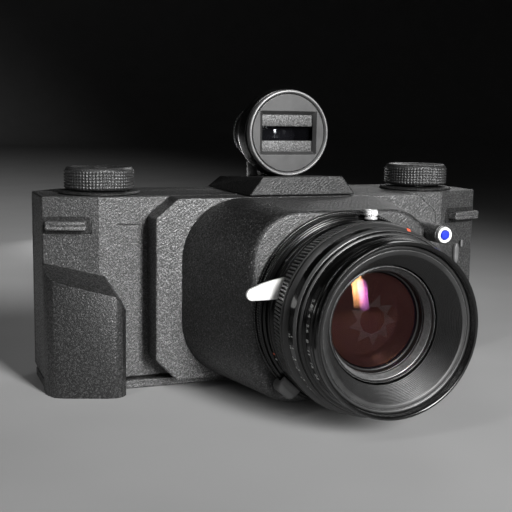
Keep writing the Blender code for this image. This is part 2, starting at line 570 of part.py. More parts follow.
join(masks, box(LENS_X - 9.9, LENS_X + 9.9, 6.0, 6.9, FINDER_Z - 7.6, FINDER_Z - 2.7),
     box(LENS_X - 10.9, LENS_X - 9.7, 6.0, 6.9, FINDER_Z - 7.6, FINDER_Z + 7.6),
     box(LENS_X + 9.7, LENS_X + 10.9, 6.0, 6.9, FINDER_Z - 7.6, FINDER_Z + 7.6))
add("finder_front_glass", rod(13.2, 8.0, 9.6, FINDER, "Y", 36), "glass", finder_point)
add("finder_eyepiece", lathe([(6.2, 30.3), (10.8, 30.3), (10.8, 32.4), (10.2, EYE_BACK),
                              (7.4, EYE_BACK), (6.2, 31.6)], FINDER, "Y", 36), "black_metal",
    finder_point)
add("finder_rear_glass", rod(8.2, 27.6, 29.0, FINDER, "Y", 32), "glass", finder_point)
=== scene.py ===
"""Looks for the wide-frame viewfinder camera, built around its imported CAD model.

Lengths here are in millimetres and are turned into metres when a mesh is made. Places come from
the CAD nodes. The lens looks along -Y, +Z is up, and the picture's right is +X.
"""
import json
import math

import bmesh
import bpy
import numpy as np
from mathutils import Matrix, Vector


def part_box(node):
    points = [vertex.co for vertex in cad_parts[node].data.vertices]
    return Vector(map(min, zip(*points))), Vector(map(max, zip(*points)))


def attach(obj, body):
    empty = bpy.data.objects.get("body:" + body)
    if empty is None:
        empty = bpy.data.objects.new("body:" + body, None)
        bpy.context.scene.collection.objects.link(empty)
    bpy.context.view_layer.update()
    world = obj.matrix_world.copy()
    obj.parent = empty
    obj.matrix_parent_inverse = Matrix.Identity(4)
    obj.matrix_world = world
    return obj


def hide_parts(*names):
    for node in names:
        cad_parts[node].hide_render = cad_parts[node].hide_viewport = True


MM = 0.001
TURN = 2.0 * math.pi

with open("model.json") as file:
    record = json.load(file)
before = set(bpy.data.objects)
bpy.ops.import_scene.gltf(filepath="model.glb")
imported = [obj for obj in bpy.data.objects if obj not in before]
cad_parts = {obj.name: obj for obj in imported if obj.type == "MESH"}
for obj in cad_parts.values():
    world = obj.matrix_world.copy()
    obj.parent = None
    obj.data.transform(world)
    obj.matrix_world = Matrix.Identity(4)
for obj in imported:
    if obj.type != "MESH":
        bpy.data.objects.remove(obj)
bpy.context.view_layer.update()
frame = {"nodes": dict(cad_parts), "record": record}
scene = bpy.context.scene


def span(node):
    """Lowest corner, highest corner and middle of a CAD node, in millimetres."""
    low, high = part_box(node)
    low, high = low / MM, high / MM
    return low, high, (low + high) / 2.0


# ---- camera -----------------------------------------------------------------
AZIMUTH, ELEVATION, ROLL = (math.radians(v) for v in (-21.06, 8.42, 0.86))
DISTANCE = 337.1                # from the aim point to the lens
AIM_RIGHT, AIM_UP = -8.24, 42.05    # aim point, measured along the picture's own sides
back = Vector((math.sin(AZIMUTH) * math.cos(ELEVATION), -math.cos(AZIMUTH) * math.cos(ELEVATION),
               math.sin(ELEVATION)))
level = Vector((math.cos(AZIMUTH), math.sin(AZIMUTH), 0.0))
upright = back.cross(level)
right = level * math.cos(ROLL) + upright * math.sin(ROLL)
up = upright * math.cos(ROLL) - level * math.sin(ROLL)
eye = (right * AIM_RIGHT + up * AIM_UP + back * DISTANCE) * MM

camera = bpy.data.objects.new("camera", bpy.data.cameras.new("camera"))
scene.collection.objects.link(camera)
camera.matrix_world = Matrix.Translation(eye) @ Matrix((right, up, back)).transposed().to_4x4()
camera.data.sensor_width = 36.0
camera.data.lens = 66.05
camera.data.clip_start = 0.01
scene.camera = camera


# ---- materials --------------------------------------------------------------
class Graph:
    """Short calls for building a node material."""

    def __init__(self, name):
        self.material = bpy.data.materials.new(name)
        self.material.use_nodes = True
        self.tree = self.material.node_tree
        self.shader = self.tree.nodes["Principled BSDF"]
        self.place = self.add("ShaderNodeTexCoord").outputs["Object"]
        # Turned and moved, so that no flat face lies in a plane where noise is weak.
        moved = self.add("ShaderNodeMapping")
        moved.inputs["Location"].default_value = (0.0137, 0.0071, 0.0219)
        moved.inputs["Rotation"].default_value = (0.43, 0.71, 0.27)
        self.link(self.place, moved.inputs["Vector"])
        self.where = moved.outputs[0]

    def add(self, kind, **settings):
        node = self.tree.nodes.new(kind)
        for key, value in settings.items():
            setattr(node, key, value)
        return node

    def link(self, source, target):
        self.tree.links.new(source, target)

    def math(self, operation, a, b=None):
        node = self.add("ShaderNodeMath", operation=operation)
        for socket, value in zip(node.inputs, (a, b)):
            if value is None:
                continue
            if isinstance(value, (int, float)):
                socket.default_value = value
            else:
                self.link(value, socket)
        return node.outputs[0]

    def noise(self, size, detail=3.0, rough=0.55, where=None):
        """Noise whose features are about size millimetres across."""
        node = self.add("ShaderNodeTexNoise")
        node.inputs["Scale"].default_value = 1.0 / (size * MM)
        node.inputs["Detail"].default_value = detail
        node.inputs["Roughness"].default_value = rough
        self.link(where or self.where, node.inputs["Vector"])
        return node.outputs["Fac"]

    def ramp(self, value, *stops):
        """Colour or grey by value: stops are (place, colour or grey)."""
        node = self.add("ShaderNodeValToRGB")
        ramp = node.color_ramp
        while len(ramp.elements) < len(stops):
            ramp.elements.new(0.5)
        for element, (place, shade) in zip(ramp.elements, stops):
            element.position = place
            colour = (shade,) * 3 if isinstance(shade, float) else shade
            element.color = (*colour, 1.0)
        self.link(value, node.inputs["Fac"])
        return node.outputs["Color"]

    def spread(self, value, low, high, source=(0.3, 0.7)):
        """Move a value from one range to another."""
        node = self.add("ShaderNodeMapRange")
        for key, number in (("From Min", source[0]), ("From Max", source[1]), ("To Min", low),
                            ("To Max", high)):
            node.inputs[key].default_value = number
        self.link(value, node.inputs["Value"])
        return node.outputs["Result"]

    def mix(self, factor, a, b, blend="MIX"):
        node = self.add("ShaderNodeMix", data_type="RGBA", blend_type=blend)
        for socket, value in zip((node.inputs[0], node.inputs[6], node.inputs[7]), (factor, a, b)):
            if isinstance(value, (int, float)):
                socket.default_value = value
            elif isinstance(value, tuple):
                socket.default_value = (*value, 1.0)
            else:
                self.link(value, socket)
        return node.outputs[2]

    def edges(self, radius):
        """1 on the sharp edges of a mesh, within radius millimetres, and 0 on its faces."""
        bevel = self.add("ShaderNodeBevel", samples=6)
        bevel.inputs["Radius"].default_value = radius * MM
        plain = self.add("ShaderNodeNewGeometry").outputs["Normal"]
        dot = self.add("ShaderNodeVectorMath", operation="DOT_PRODUCT")
        self.link(bevel.outputs["Normal"], dot.inputs[0])
        self.link(plain, dot.inputs[1])
        return self.spread(dot.outputs["Value"], 1.0, 0.0, (0.72, 0.97)), bevel.outputs["Normal"]

    def bump(self, height, depth, normal=None):
        """Bump from a height of 0 to 1 that stands for depth millimetres."""
        node = self.add("ShaderNodeBump")
        node.inputs["Distance"].default_value = depth * MM
        node.inputs["Strength"].default_value = 1.0
        self.link(height, node.inputs["Height"])
        if normal is not None:
            self.link(normal, node.inputs["Normal"])
        return node.outputs["Normal"]

    def round_axis(self, centre, axis):
        """Coordinates that run round an axis: radius, distance along it and a little of the angle."""
        parts = self.add("ShaderNodeSeparateXYZ")
        self.link(self.place, parts.inputs[0])
        names = {"Y": ("X", "Z", "Y"), "Z": ("X", "Y", "Z")}[axis]
        a = self.math("SUBTRACT", parts.outputs[names[0]], centre[0] * MM)
        b = self.math("SUBTRACT", parts.outputs[names[1]], centre[1] * MM)
        radius = self.math("SQRT", self.math("ADD", self.math("MULTIPLY", a, a),
                                             self.math("MULTIPLY", b, b)))
        angle = self.math("MULTIPLY", self.math("ARCTAN2", b, a), 0.6 * MM)
        joined = self.add("ShaderNodeCombineXYZ")
        for socket, value in zip(joined.inputs, (radius, parts.outputs[names[2]], angle)):
            self.link(value, socket)
        return joined.outputs[0]

    def seam_line(self, height, low, high):
        """1 on a thin level line at a height, between two distances from the middle."""
        parts = self.add("ShaderNodeSeparateXYZ")
        self.link(self.place, parts.inputs[0])
        wander = self.math("MULTIPLY", self.noise(4.0, 2.0), 0.5 * MM)
        off = self.math("ABSOLUTE", self.math("SUBTRACT", parts.outputs["Z"],
                                              self.math("ADD", wander, height * MM)))
        thin = self.spread(off, 1.0, 0.0, (0.06 * MM, 0.2 * MM))
        side = self.math("ABSOLUTE", parts.outputs["X"])
        start = self.spread(side, 0.0, 1.0, (low * MM, (low + 0.8) * MM))
        end = self.spread(side, 1.0, 0.0, ((high - 0.8) * MM, high * MM))
        return self.math("MULTIPLY", thin, self.math("MULTIPLY", start, end))

    def set(self, **values):
        """Set or link sockets of the shader; a name's underscores stand for spaces."""
        for key, value in values.items():
            socket = self.shader.inputs[key.replace("_", " ")]
            if hasattr(value, "is_linked"):
                self.link(value, socket)
            elif isinstance(value, tuple) and len(value) == 3:
                socket.default_value = (*value, 1.0)
            else:
                socket.default_value = value


def grey(value):
    return (value, value, value)


def printed_look(name, level=0.02, grain=0.66, depth=0.2, gloss=(0.62, 0.33), seam=None,
                 shine=0.9, glint_amount=0.4):
    """Sintered nylon: fine grain that glints, faint slanted layers and edges made lighter by use.
    Its colour holds painted light too: painted shade in the grain's pits, painted highlight on
    its tops, light dots as painted glints and painted highlight along the edges. A seam is a
    height and the side to side range where a layer line shows."""
    g = Graph(name)
    grain_a = g.noise(grain, 2.0, 0.65)
    grain_b = g.noise(grain * 0.5, 1.0, 0.5)
    patch = g.noise(22.0, 2.0)
    turned = g.add("ShaderNodeMapping")
    turned.inputs["Rotation"].default_value = (0.35, 0.62, 0.2)
    g.link(g.place, turned.inputs["Vector"])
    layers = g.add("ShaderNodeTexWave", wave_type="BANDS", bands_direction="Z")
    layers.inputs["Scale"].default_value = 0.32 / (0.9 * MM)
    layers.inputs["Distortion"].default_value = 2.4
    layers.inputs["Detail"].default_value = 2.0
    layers.inputs["Detail Scale"].default_value = 2.2
    g.link(turned.outputs[0], layers.inputs["Vector"])
    mixed = g.math("ADD", g.math("MULTIPLY", grain_a, 0.6), g.math("MULTIPLY", grain_b, 0.4))
    # Tone follows the grain: darker in its pits, which is painted shade, and lighter on its tops,
    # which is painted highlight.
    shade = g.ramp(mixed, (0.41, grey(level * 0.1)), (0.49, grey(level * 0.7)),
                   (0.56, grey(level * 2.4)), (0.64, grey(level * 5.0)))
    shade = g.mix(0.6, shade, g.ramp(patch, (0.3, 0.75), (0.7, 1.2)), "MULTIPLY")
    # Light dots in the colour: painted glints of the grain.
    bright = g.ramp(g.noise(0.45, 1.0, 0.4), (0.66, 0.0), (0.73, 1.0))
    shade = g.mix(g.math("MULTIPLY", bright, glint_amount), shade, grey(0.16))
    # Edges made lighter where the grain allows: partly rubbed nylon, partly painted highlight along
    # the edges.
    edge, round_normal = g.edges(0.35)
    rubbed_and_highlit_edge = g.math("MULTIPLY", edge, g.spread(grain_a, 0.1, 0.7))
    shade = g.mix(rubbed_and_highlit_edge, shade, grey(min(level * 14.0, 0.26)))
    height = g.math("ADD", g.math("MULTIPLY", grain_a, 0.75), g.math("MULTIPLY", grain_b, 0.35))
    height = g.math("ADD", height, g.math("MULTIPLY", layers.outputs["Fac"], 0.14))
    if seam:
        line = g.seam_line(*seam)
        height = g.math("SUBTRACT", height, line)
        shade = g.mix(g.math("MULTIPLY", line, 0.55), shade, grey(level * 0.35))
    g.set(Base_Color=shade, Roughness=g.spread(mixed, *gloss, source=(0.38, 0.56)),
          Normal=g.bump(height, depth, round_normal))
    g.shader.inputs["Specular IOR Level"].default_value = shine
    return g.material


def metal_look(name, colour, rough, metallic=1.0, axis=None, edge_use_and_highlight=None, grain=0.12, coat=0.0,
               lines=0.5, level=0.5):
    """Machined metal: turning marks round an axis where there is one, fine grain, and edges made
    lighter, partly by rubbing and partly as painted highlight lines.
    """
    g = Graph(name)
    where = g.round_axis(*axis) if axis else g.where
    marks = g.noise(0.16, 2.0, 0.6, where)
    cloud = g.noise(5.0, 3.0)
    shade = g.mix(g.spread(cloud, 0.0, 1.0), tuple(c * 0.82 for c in colour),
                  tuple(min(c * 1.15, 1.0) for c in colour))
    edge, round_normal = g.edges(0.24)
    # Lighter edges: partly rubbed metal, partly painted highlight lines along the edges.
    if edge_use_and_highlight:
        rubbed_and_highlit_metal_edge = g.math("MULTIPLY", edge, g.spread(g.noise(0.9, 3.0), 0.25, 1.0))
        shade = g.mix(g.math("MULTIPLY", rubbed_and_highlit_metal_edge, edge_use_and_highlight[0]), shade, edge_use_and_highlight[1])
    height = g.math("ADD", g.math("MULTIPLY", marks, lines),
                    g.math("MULTIPLY", g.noise(grain, 2.0), 0.4))
    g.set(Base_Color=shade, Metallic=metallic, Coat_Weight=coat,
          Roughness=g.spread(g.math("ADD", g.math("MULTIPLY", marks, 0.5),
                                    g.math("MULTIPLY", cloud, 0.5)), rough * 0.8, rough * 1.25),
          Normal=g.bump(height, 0.006, round_normal))
    g.shader.inputs["Specular IOR Level"].default_value = level
    return g.material


def paint_look(name, colour, rough=0.3, speck=0.0):
    """Smooth paint or moulded plastic with faint waves and dust."""
    g = Graph(name)
    cloud = g.noise(2.6, 3.0)
    shade = g.mix(g.spread(cloud, 0.0, 1.0), tuple(c * 0.93 for c in colour), colour)
    dust = g.ramp(g.noise(0.3, 2.0), (0.70, 0.0), (0.76, 1.0))
    shade = g.mix(g.math("MULTIPLY", dust, speck), shade, grey(0.4))
    g.set(Base_Color=shade, Roughness=g.spread(cloud, rough * 0.8, rough * 1.3),
          Normal=g.bump(g.noise(0.5, 2.0), 0.008))
    g.shader.inputs["Coat Weight"].default_value = 0.05
    g.shader.inputs["Coat Roughness"].default_value = 0.25
    return g.material


def glass_look(name, tint, reflection, level=0.5, rough=0.012, solid=1.0, ior=1.5):
    """Coated glass: the coating tints what it reflects. solid is how little shows through."""
    g = Graph(name)
    smear = g.noise(3.0, 3.0)
    g.set(Base_Color=g.mix(g.spread(smear, 0.0, 1.0), tint, tuple(c * 0.9 for c in tint)),
          Roughness=g.spread(smear, rough * 0.6, rough * 1.6))
    g.shader.inputs["Alpha"].default_value = solid
    g.shader.inputs["IOR"].default_value = ior
    g.shader.inputs["Specular IOR Level"].default_value = level
    g.shader.inputs["Specular Tint"].default_value = (*reflection, 1.0)
    return g.material


lens_mid = span("filter_ring")[2]
LENS = (lens_mid.x, lens_mid.z)


FINDER = (span("finder_bezel")[2].x, span("finder_bezel")[2].z)
LENS_TURN = (LENS, "Y")

LOOKS = {
    "printed": printed_look("printed_nylon"),
    "cone_black": printed_look("cone_coating", 0.01, 0.7, 0.16, (0.6, 0.36), None, 0.75, 1.0),
    "black_metal": metal_look("black_anodised", grey(0.004), 0.16, 0.0, LENS_TURN,
                              (1.0, grey(0.42)), coat=0.12, level=0.38),
    "dark_metal": metal_look("dark_steel", grey(0.02), 0.26, 0.4, None, (0.9, grey(0.5))),
    "bright_metal": metal_look("satin_aluminium", grey(0.82), 0.34, 0.45, None, (0.4, grey(0.9))),
    "grey_metal": metal_look("satin_alloy", grey(0.26), 0.42, 0.5, None, (0.6, grey(0.6))),
    "white_paint": paint_look("white_enamel", (0.86, 0.86, 0.84), 0.28, 0.15),
    "blue_plastic": paint_look("blue_plastic", (0.001, 0.026, 0.6), 0.55, 0.02),
    "red_plastic": paint_look("red_paint", (0.85, 0.13, 0.06), 0.4, 0.05),
    "glass": glass_look("smoked_glass", (0.008, 0.008, 0.01), (0.9, 0.95, 1.0), 0.8, 0.03, 1.0),
}
SHELL_LOOK = printed_look("printed_shell", seam=(54.9, 50.5, 58.5))
PLATE_LOOK = printed_look("printed_plate", 0.026, 0.75, 0.18)
SLEEVE_LOOK = printed_look("printed_sleeve", 0.05, 0.5, 0.2, (0.5, 0.35))
KNOB_LOOK = printed_look("printed_knob", 0.014, 0.4, 0.08, (0.5, 0.3))
# Darker print; round the strap lug bars it is used as painted shadow.
DARK_PRINT_AND_SHADOW = printed_look("printed_dark_and_painted_shadow", 0.008, 0.7, 0.15, (0.6, 0.4), None, 0.5)
MATTE = metal_look("matte_black", grey(0.008), 0.36, 0.0, LENS_TURN, (0.9, grey(0.22)), 0.15, 0.0,
                   0.9, 0.6)
FACE_LOOK = metal_look("finder_alloy", grey(0.06), 0.42, 0.45, None, (0.9, grey(0.6)), 0.4)
BARREL_LOOK = metal_look("finder_black", grey(0.004), 0.26, 0.0, (FINDER, "Y"),
                         (0.4, grey(0.1)), coat=0.1, level=0.35)
GRIP_LOOK = printed_look("printed_grip", 0.011, 0.75, 0.2, (0.6, 0.36), None, 0.65)
WINDOW_LOOK = glass_look("window_glass", (0.01, 0.01, 0.012), (0.9, 0.95, 1.0), 0.5, 0.02, 0.15)
# Lighter black for thin bands on the lens's chamfers and rims: painted highlight where they catch the
# light.
SATIN_AND_HIGHLIGHT = metal_look("satin_black_painted_highlight", grey(0.045), 0.34, 0.3, LENS_TURN, (0.85, grey(0.4)), level=0.6)
# Dark grey metal. On the speed ring's rib bars its lighter grey is painted highlight on the lit rib
# tops.
BAR_LOOK = metal_look("rib_black", grey(0.1), 0.3, 0.2, LENS_TURN, (0.7, grey(0.5)), level=0.6)
MASK_LOOK = printed_look("mask_metal", 0.045, 0.5, 0.12, (0.6, 0.4), None, 0.7)
BLADE_LOOK = metal_look("blade_steel", grey(0.22), 0.3, 0.6, None, (0.9, grey(0.7)), 0.1)
SLOT_OF = {node["node"]: node["material_slot"] for node in frame["record"]["subparts"]}
for node, obj in frame["nodes"].items():
    obj.data.materials.clear()
    obj.data.materials.append(LOOKS[SLOT_OF[node]])
for node, look in (("body_shell", SHELL_LOOK), ("front_plate", PLATE_LOOK),
                   ("finder_base", DARK_PRINT_AND_SHADOW)):
    frame["nodes"][node].data.materials[0] = look


# ---- making pieces ----------------------------------------------------------
def piece(name, mesh, slot, body, replaces=(), look=None, angle=35.0):
    """Finish a mesh drawn in millimetres as a piece that rides on a CAD body."""
    if isinstance(mesh, bmesh.types.BMesh):
        bm, mesh = mesh, bpy.data.meshes.new(name)
        bmesh.ops.remove_doubles(bm, verts=bm.verts, dist=1e-5)
        bmesh.ops.recalc_face_normals(bm, faces=bm.faces)
        bm.to_mesh(mesh)
        bm.free()
    mesh.name = name
    mesh.transform(Matrix.Scale(MM, 4))
    mesh.materials.clear()
    mesh.materials.append(look or LOOKS[slot])
    mesh.shade_smooth()
    mesh.set_sharp_from_angle(angle=math.radians(angle))
    obj = bpy.data.objects.new(name, mesh)
    scene.collection.objects.link(obj)
    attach(obj, body)
    if replaces:
        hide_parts(*replaces)
    return obj


def eased(profile, radius, steps=3):
    """Round every corner of a closed profile."""
    points = []
    for i, corner in enumerate(profile):
        here = Vector(corner)
        before = Vector(profile[i - 1]) - here
        after = Vector(profile[(i + 1) % len(profile)]) - here
        reach = min(radius, before.length * 0.45, after.length * 0.45)
        start = here + before.normalized() * reach
        end = here + after.normalized() * reach
        for k in range(steps + 1):
            t = k / steps
            points.append(tuple(start * (1 - t) ** 2 + here * 2 * t * (1 - t) + end * t ** 2))
    return points


def turned_mesh(profile, centre, axis="Y", steps=144, ripple=None):
    """Turn a closed profile of (radius, distance) about an axis. ripple(angle, radius, along)
    gives each point a new radius."""
    radius = np.array([p[0] for p in profile])[None, :]
    along = np.array([p[1] for p in profile])[None, :]
    angle = (np.arange(steps) * TURN / steps)[:, None]
    along = np.repeat(along, steps, axis=0)
    radius = np.repeat(radius, steps, axis=0)
    if ripple:
        radius = ripple(angle, radius, along)
    a = centre[0] + radius * np.cos(angle)
    b = centre[1] + radius * np.sin(angle)
    points = np.stack([a, along, b] if axis == "Y" else [a, b, along], axis=-1)
    count = len(profile)
    faces = []
    for i in range(steps):
        here, there = i * count, (i + 1) % steps * count
        for k in range(count):
            m = (k + 1) % count
            faces.append((here + k, here + m, there + m, there + k))
    bm = bmesh.new()
    verts = [bm.verts.new(p) for p in points.reshape(-1, 3)]
    for face in faces:
        bm.faces.new([verts[i] for i in face])
    return bm


def turned(name, profile, slot, body, replaces=(), centre=LENS, axis="Y", steps=144, ripple=None,
           look=None, angle=35.0):
    return piece(name, turned_mesh(profile, centre, axis, steps, ripple), slot, body, replaces,
                 look, angle)


def loft(loops, closed=False):
    """Join loops of equal length. Open lofts get flat caps at both ends."""
    bm = bmesh.new()
    rows = [[bm.verts.new(p) for p in loop] for loop in loops]
    count = len(rows[0])
    pairs = list(zip(rows, rows[1:])) + ([(rows[-1], rows[0])] if closed else [])
    for low, high in pairs:
        for i in range(count):
            j = (i + 1) % count
            bm.faces.new((low[i], low[j], high[j], high[i]))
    if not closed:
        bm.faces.new(rows[0])
        bm.faces.new(rows[-1])
    return bm


def place(outline, along, axis):
    """Points of a flat outline set at a distance along an axis."""
    if axis == "Y":
        return [(a, along, b) for a, b in outline]
    if axis == "Z":
        return [(a, b, along) for a, b in outline]
    return [(along, a, b) for a, b in outline]


def block_mesh(outline, low, high, axis):
    return loft([place(outline, low, axis), place(outline, high, axis)])


def rectangle(a0, a1, b0, b1):
    return [(a0, b0), (a1, b0), (a1, b1), (a0, b1)]


def softened(bm, width, segments=3, angle=30.0):
    """The bmesh with its sharp edges rounded."""
    bmesh.ops.recalc_face_normals(bm, faces=bm.faces)
    sharp = [e for e in bm.edges if len(e.link_faces) == 2
             and e.calc_face_angle() > math.radians(angle)]
    bmesh.ops.bevel(bm, geom=sharp, offset=width, segments=segments, profile=0.6,
                    affect="EDGES", clamp_overlap=True)
    return bm


def joined(*meshes):
    """Several bmeshes as one."""
    whole = meshes[0]
    for other in meshes[1:]:
        spare = bpy.data.meshes.new("spare")
        other.to_mesh(spare)
        other.free()
        whole.from_mesh(spare)
        bpy.data.meshes.remove(spare)
    return whole


def round_rect(cx, cz, half_x, half_z, radius, steps=16):
    points = []
    for quarter, (sx, sz) in enumerate(((1, 1), (-1, 1), (-1, -1), (1, -1))):
        for i in range(steps + 1):
            turn = math.pi / 2.0 * (quarter + i / steps)
            points.append((cx + sx * (half_x - radius) + radius * math.cos(turn),
                           cz + sz * (half_z - radius) + radius * math.sin(turn)))
    return points


def ring_of(node):
    """Outer radius, front and back of a round CAD node on a fore-and-aft axis."""
    low, high, mid = span(node)
    return (high.x - low.x) / 2.0, low.y, high.y


def cuts(count, depth, low, high, duty=0.0, ease=0.3):
    """Ripple that cuts straight grooves round a ring between two distances along its axis."""
    def ripple(angle, radius, along):
        wave = np.clip(0.5 + duty + 1.6 * np.cos(count * angle), 0.0, 1.0)
        inside = np.clip((along - low) / ease, 0, 1) * np.clip((high - along) / ease, 0, 1)
        outer = radius > radius.max() - depth * 2.2
        return radius - depth * wave * inside * outer
    return ripple


def pyramids(count, rows, depth, low, high, slit=None):
    """Ripple that covers a knob with rows of small pyramids. slit is the angle of a fine cut."""
    def ripple(angle, radius, along):
        across = np.abs((angle * count / TURN) % 1.0 - 0.5)
        upward = np.abs(((along - low) * rows / (high - low)) % 1.0 - 0.5)
        inside = (along >= low) & (along <= high) & (radius > radius.max() - 0.3)
        cut = depth * 2.0 * np.maximum(across, upward) * inside
        if slit is not None:
            near = np.abs(angle - slit) * radius < 0.22
            cut = np.where(near & (radius > radius.max() - 1.2), 0.5, cut)
        return radius - cut
    return ripple


def cad_mesh(node):
    """A copy of a CAD node's mesh in millimetres, with its flat faces joined."""
    bm = bmesh.new()
    bm.from_mesh(frame["nodes"][node].data)
    bm.transform(Matrix.Scale(1.0 / MM, 4))
    bmesh.ops.remove_doubles(bm, verts=bm.verts, dist=1e-3)
    bmesh.ops.dissolve_limit(bm, angle_limit=math.radians(1.0), verts=bm.verts, edges=bm.edges)
    return bm


# ---- cone, with the sleeve of the release -----------------------------------
cone_low, cone_high = span("lens_cone")[:2]
collar_mid = span("release_collar")[2]
flange_r, flange_front, flange_back = ring_of("lens_flange")
CONE_FRONT = flange_back + 0.3
CONE_BACK = span("front_plate")[0].y - 0.3
BASE_HALF = ((cone_high.x - cone_low.x) / 2.0, 30.2)
TIP_HALF = (31.0, 30.1)         # half width and half height of the front of the cone
CONE_Z = (32.75, 34.0)          # middle of the front and of the back
CONE_R = (15.9, 20.0)           # radius of the corners, at the front and at the back


def cone_loop(share, shrink):
    """Outline of the cone at a share of its depth, made smaller by shrink."""
    half_x = TIP_HALF[0] + (BASE_HALF[0] - TIP_HALF[0]) * share - shrink
    half_z = TIP_HALF[1] + (BASE_HALF[1] - TIP_HALF[1]) * share - shrink
    middle = CONE_Z[0] + (CONE_Z[1] - CONE_Z[0]) * share
    corner = CONE_R[0] + (CONE_R[1] - CONE_R[0]) * share - shrink
    along = CONE_FRONT + (CONE_BACK - CONE_FRONT) * share
    return place(round_rect(LENS[0], middle, half_x, half_z, corner, 20), along, "Y")


EDGE = 1.5                      # rounding between the cone's front and its sides
CONE_DEPTH = CONE_BACK - CONE_FRONT
front_loops = []
for k in range(7):
    turn = math.pi / 2.0 * k / 6
    front_loops.append(cone_loop(EDGE * (1 - math.sin(turn)) / CONE_DEPTH,
                                 EDGE * (1 - math.cos(turn))))
walls = [cone_loop(share / 12.0, 0.0) for share in range(12, 0, -1)]
inner = [place([(LENS[0] + 26.0 * math.cos(t), LENS[1] + 26.0 * math.sin(t))
                for t in (math.pi / 2.0 * (q + i / 20) for q in range(4) for i in range(21))],
               y, "Y") for y in (CONE_FRONT, CONE_FRONT + 3.4)]
hollow = [place(round_rect(LENS[0], LENS[1], 27.0 + 11.0 * s, 25.5, 14.0, 20),
                CONE_FRONT + 3.6 + (CONE_DEPTH - 3.6) * s, "Y") for s in (0.0, 1.0)]
piece("cone_skin", loft(walls + front_loops + inner + hollow, closed=True), "cone_black",
      "camera_body", ["lens_cone"])

BUTTON = (collar_mid.x, collar_mid.z)
SLEEVE_R = 2.9
turned("release_sleeve",
       eased([(1.8, -49.4), (SLEEVE_R, -49.4), (SLEEVE_R, -24.0), (1.8, -24.0)], 0.25),
       "printed", "camera_body", centre=BUTTON, steps=48, look=SLEEVE_LOOK)
turned("release_collar_ring",
       eased([(1.6, -50.7), (2.5, -50.7), (2.5, -49.6), (1.6, -49.6)], 0.2, 4),
       "white_paint", "camera_body", ["release_collar"], centre=BUTTON, steps=48)
turned("release_button_cap",
       eased([(0.02, -51.0), (1.1, -50.95), (1.5, -50.7), (1.5, -49.0), (1.4, -48.9),
              (1.4, -45.8), (0.02, -45.8)], 0.2), "blue_plastic", "release",
       ["release_button"], centre=BUTTON, steps=48)

# ---- hand grip --------------------------------------------------------------
GRIP_EDGE = 1.1
grip = cad_mesh("hand_grip")
wall_y = span("body_shell")[0].y
free = [e for e in grip.edges if len(e.link_faces) == 2
        and e.calc_face_angle() > math.radians(25.0)
        and max(v.co.y - max(abs(v.co.x) - 64.5, 0.0) * 0.3 for v in e.verts) < wall_y - 1.5]
bmesh.ops.bevel(grip, geom=free, offset=GRIP_EDGE, segments=4, profile=0.5, affect="EDGES",
                clamp_overlap=True)
piece("hand_grip_soft", grip, "printed", "camera_body", ["hand_grip"], GRIP_LOOK)

# ---- lens: flange and focus ring --------------------------------------------
turned("flange_ring", eased([(26.0, flange_front), (flange_r - 0.4, flange_front),
                             (flange_r, flange_front + 0.25), (flange_r, flange_back),
                             (26.0, flange_back)], 0.12), "black_metal", "camera_body",
       ["lens_flange"], steps=880, ripple=cuts(220, 0.16, -45.0, -42.0))
focus_r, focus_front, focus_back = ring_of("focus_ring")
FOCUS = [(25.9, focus_front), (focus_r - 1.7, focus_front), (focus_r - 1.3, focus_front + 0.35),
         (focus_r - 0.9, focus_front + 0.35), (focus_r - 0.55, focus_front + 0.1),
         (focus_r - 0.1, focus_front + 0.5), (focus_r, focus_front + 1.0),
         (focus_r - 0.45, focus_front + 1.35), (focus_r - 0.45, focus_front + 1.75),
         (focus_r, focus_front + 2.1), (focus_r, focus_back - 0.4), (focus_r - 0.4, focus_back),
         (25.9, focus_back)]
turned("focus_ring_grip", eased(FOCUS, 0.14), "black_metal", "focus", ["focus_ring"], steps=960,
       ripple=cuts(240, 0.2, focus_front + 0.3, focus_back + 1.0))

# ---- lens: shutter housing, rings, barrel -----------------------------------
core = 25.7
turned("shutter_barrel", eased([
    (21.8, -67.7), (25.3, -67.7), (25.3, -52.3), (27.6, -52.3), (28.0, -52.0), (28.3, -51.6),
    (28.3, -50.4), (28.0, -50.2), (28.0, -49.7), (28.3, -49.5), (28.3, -48.3), (27.9, -47.9),
    (21.8, -47.9)], 0.15), "black_metal", "lens_unit", ["shutter_housing"])
speed_r, speed_front, speed_back = ring_of("speed_ring")
RIBS = 156
RIB_ROWS = [(speed_r - 0.9 + 0.75 * k / 12.0, speed_back - 0.4 - (speed_back - speed_front - 1.3)
             * k / 12.0) for k in range(13)]
SPEED = ([(core, speed_front), (speed_r - 0.7, speed_front), (speed_r - 0.25, speed_front + 0.2),
          (speed_r, speed_front + 0.5), (speed_r, speed_front + 0.75)]
         + list(reversed(RIB_ROWS)) + [(speed_r - 1.3, speed_back), (core, speed_back)])
turned("speed_ring_ribs", SPEED, "black_metal", "speed", ["speed_ring"], steps=RIBS * 8,
       ripple=cuts(RIBS, 0.55, speed_front + 0.85, speed_back + 1.0, 0.0, 0.35), angle=50.0)
# Lighter bars on the tops of the ribs, over the black ring: painted highlight where the ribs catch
# the light.
bars = []
for k in range(RIBS):
    middle = TURN * (k + 0.5) / RIBS
    bars.append(loft([[(LENS[0] + r * math.cos(middle + t), y, LENS[1] + r * math.sin(middle + t))
                       for r, t in ((top - 0.5, -0.0098), (top, -0.0088), (top, 0.0088),
                                    (top - 0.5, 0.0098))]
                      for y, top in ((speed_front + 0.75, speed_r + 0.02),
                                     (speed_back - 0.5, speed_r - 0.75))]))
piece("speed_ring_bars", joined(*bars), "black_metal", "speed", look=BAR_LOOK)
